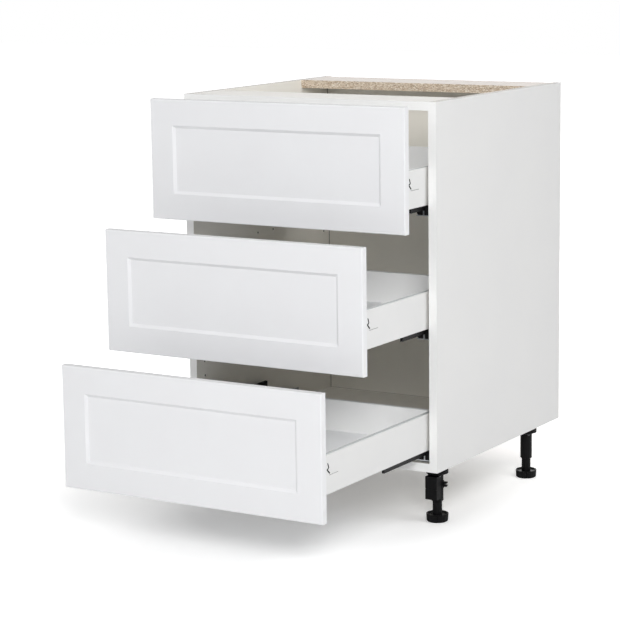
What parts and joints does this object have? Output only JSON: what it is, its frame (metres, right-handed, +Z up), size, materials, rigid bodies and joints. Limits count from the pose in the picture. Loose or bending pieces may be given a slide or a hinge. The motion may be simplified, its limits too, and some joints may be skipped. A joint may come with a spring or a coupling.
{
  "type": "base cabinet with drawers",
  "caption": "Kitchen base cabinet with framed fronts on full-extension, steel-sided drawers, open top rails for a worktop, and black adjustable legs, shown with its drawers pulled out in steps.",
  "frame": {"origin": "on the floor, under the middle of the outline with the drawers out as stored", "axes": "+X to the right and +Y to the back for someone facing the drawers, +Z up"},
  "size_m": [0.61, 1.043, 0.879],
  "materials": {
    "front_board": "satin white foil over moulded board",
    "carcass_board": "white melamine-faced particleboard",
    "drawer_board": "white melamine-faced board",
    "drawer_steel": "white powder coat, satin",
    "runner_steel": "zinc-plated sheet",
    "slider_steel": "black, satin",
    "leg_plastic": "moulded black plastic"
  },
  "bodies": {
    "carcass": {"side_panel_left": "carcass_board", "side_panel_right": "carcass_board", "bottom_panel": "carcass_board", "back_panel": "carcass_board", "front_top_rail": "carcass_board", "rear_top_rail": "carcass_board", "leg_sleeve_front_left": "leg_plastic", "leg_sleeve_front_right": "leg_plastic", "leg_sleeve_rear_left": "leg_plastic", "leg_sleeve_rear_right": "leg_plastic", "plinth_clip_left": "leg_plastic", "plinth_clip_right": "leg_plastic", "bottom_drawer_runner_left": "runner_steel", "bottom_drawer_catch_left": "leg_plastic", "bottom_drawer_runner_right": "runner_steel", "bottom_drawer_catch_right": "leg_plastic", "middle_drawer_runner_left": "runner_steel", "middle_drawer_catch_left": "leg_plastic", "middle_drawer_runner_right": "runner_steel", "middle_drawer_catch_right": "leg_plastic", "top_drawer_runner_left": "runner_steel", "top_drawer_catch_left": "leg_plastic", "top_drawer_runner_right": "runner_steel", "top_drawer_catch_right": "leg_plastic"},
    "bottom_drawer": {"bottom_drawer_front": "front_board", "bottom_drawer_bottom": "drawer_board", "bottom_drawer_back": "drawer_board", "bottom_drawer_side_left": "drawer_steel", "bottom_drawer_rail_left": "runner_steel", "bottom_drawer_side_right": "drawer_steel", "bottom_drawer_rail_right": "runner_steel"},
    "bottom_slider": {"bottom_drawer_slider_left": "slider_steel", "bottom_drawer_slider_right": "slider_steel"},
    "middle_drawer": {"middle_drawer_front": "front_board", "middle_drawer_bottom": "drawer_board", "middle_drawer_back": "drawer_board", "middle_drawer_side_left": "drawer_steel", "middle_drawer_rail_left": "runner_steel", "middle_drawer_side_right": "drawer_steel", "middle_drawer_rail_right": "runner_steel"},
    "middle_slider": {"middle_drawer_slider_left": "slider_steel", "middle_drawer_slider_right": "slider_steel"},
    "top_drawer": {"top_drawer_front": "front_board", "top_drawer_bottom": "drawer_board", "top_drawer_back": "drawer_board", "top_drawer_side_left": "drawer_steel", "top_drawer_rail_left": "runner_steel", "top_drawer_side_right": "drawer_steel", "top_drawer_rail_right": "runner_steel"},
    "top_slider": {"top_drawer_slider_left": "slider_steel", "top_drawer_slider_right": "slider_steel"},
    "foot_front_left": {"levelling_foot_front_left": "leg_plastic"},
    "foot_front_right": {"levelling_foot_front_right": "leg_plastic"},
    "foot_rear_left": {"levelling_foot_rear_left": "leg_plastic"},
    "foot_rear_right": {"levelling_foot_rear_right": "leg_plastic"}
  },
  "joints": [
    {"name": "bottom_drawer_slide", "type": "slide", "parent": "carcass", "child": "bottom_drawer", "axis": [0, -1, 0], "range_m": [-0.435, 0.045]},
    {"name": "bottom_slider_slide", "type": "slide", "parent": "carcass", "child": "bottom_slider", "axis": [0, -1, 0], "range_m": [-0.2175, 0.0225]},
    {"name": "middle_drawer_slide", "type": "slide", "parent": "carcass", "child": "middle_drawer", "axis": [0, -1, 0], "range_m": [-0.277, 0.203]},
    {"name": "middle_slider_slide", "type": "slide", "parent": "carcass", "child": "middle_slider", "axis": [0, -1, 0], "range_m": [-0.1385, 0.1015]},
    {"name": "top_drawer_slide", "type": "slide", "parent": "carcass", "child": "top_drawer", "axis": [0, -1, 0], "range_m": [-0.107, 0.373]},
    {"name": "top_slider_slide", "type": "slide", "parent": "carcass", "child": "top_slider", "axis": [0, -1, 0], "range_m": [-0.0535, 0.1865]},
    {"name": "foot_front_left_height", "type": "slide", "parent": "carcass", "child": "foot_front_left", "axis": [0, 0, -1], "range_m": [-0.01, 0.02]},
    {"name": "foot_front_right_height", "type": "slide", "parent": "carcass", "child": "foot_front_right", "axis": [0, 0, -1], "range_m": [-0.01, 0.02]},
    {"name": "foot_rear_left_height", "type": "slide", "parent": "carcass", "child": "foot_rear_left", "axis": [0, 0, -1], "range_m": [-0.01, 0.02]},
    {"name": "foot_rear_right_height", "type": "slide", "parent": "carcass", "child": "foot_rear_right", "axis": [0, 0, -1], "range_m": [-0.01, 0.02]}
  ],
  "couplings": [
    {"joint": "bottom_slider_slide", "follows": "bottom_drawer_slide", "ratio": 0.5},
    {"joint": "middle_slider_slide", "follows": "middle_drawer_slide", "ratio": 0.5},
    {"joint": "top_slider_slide", "follows": "top_drawer_slide", "ratio": 0.5}
  ]
}
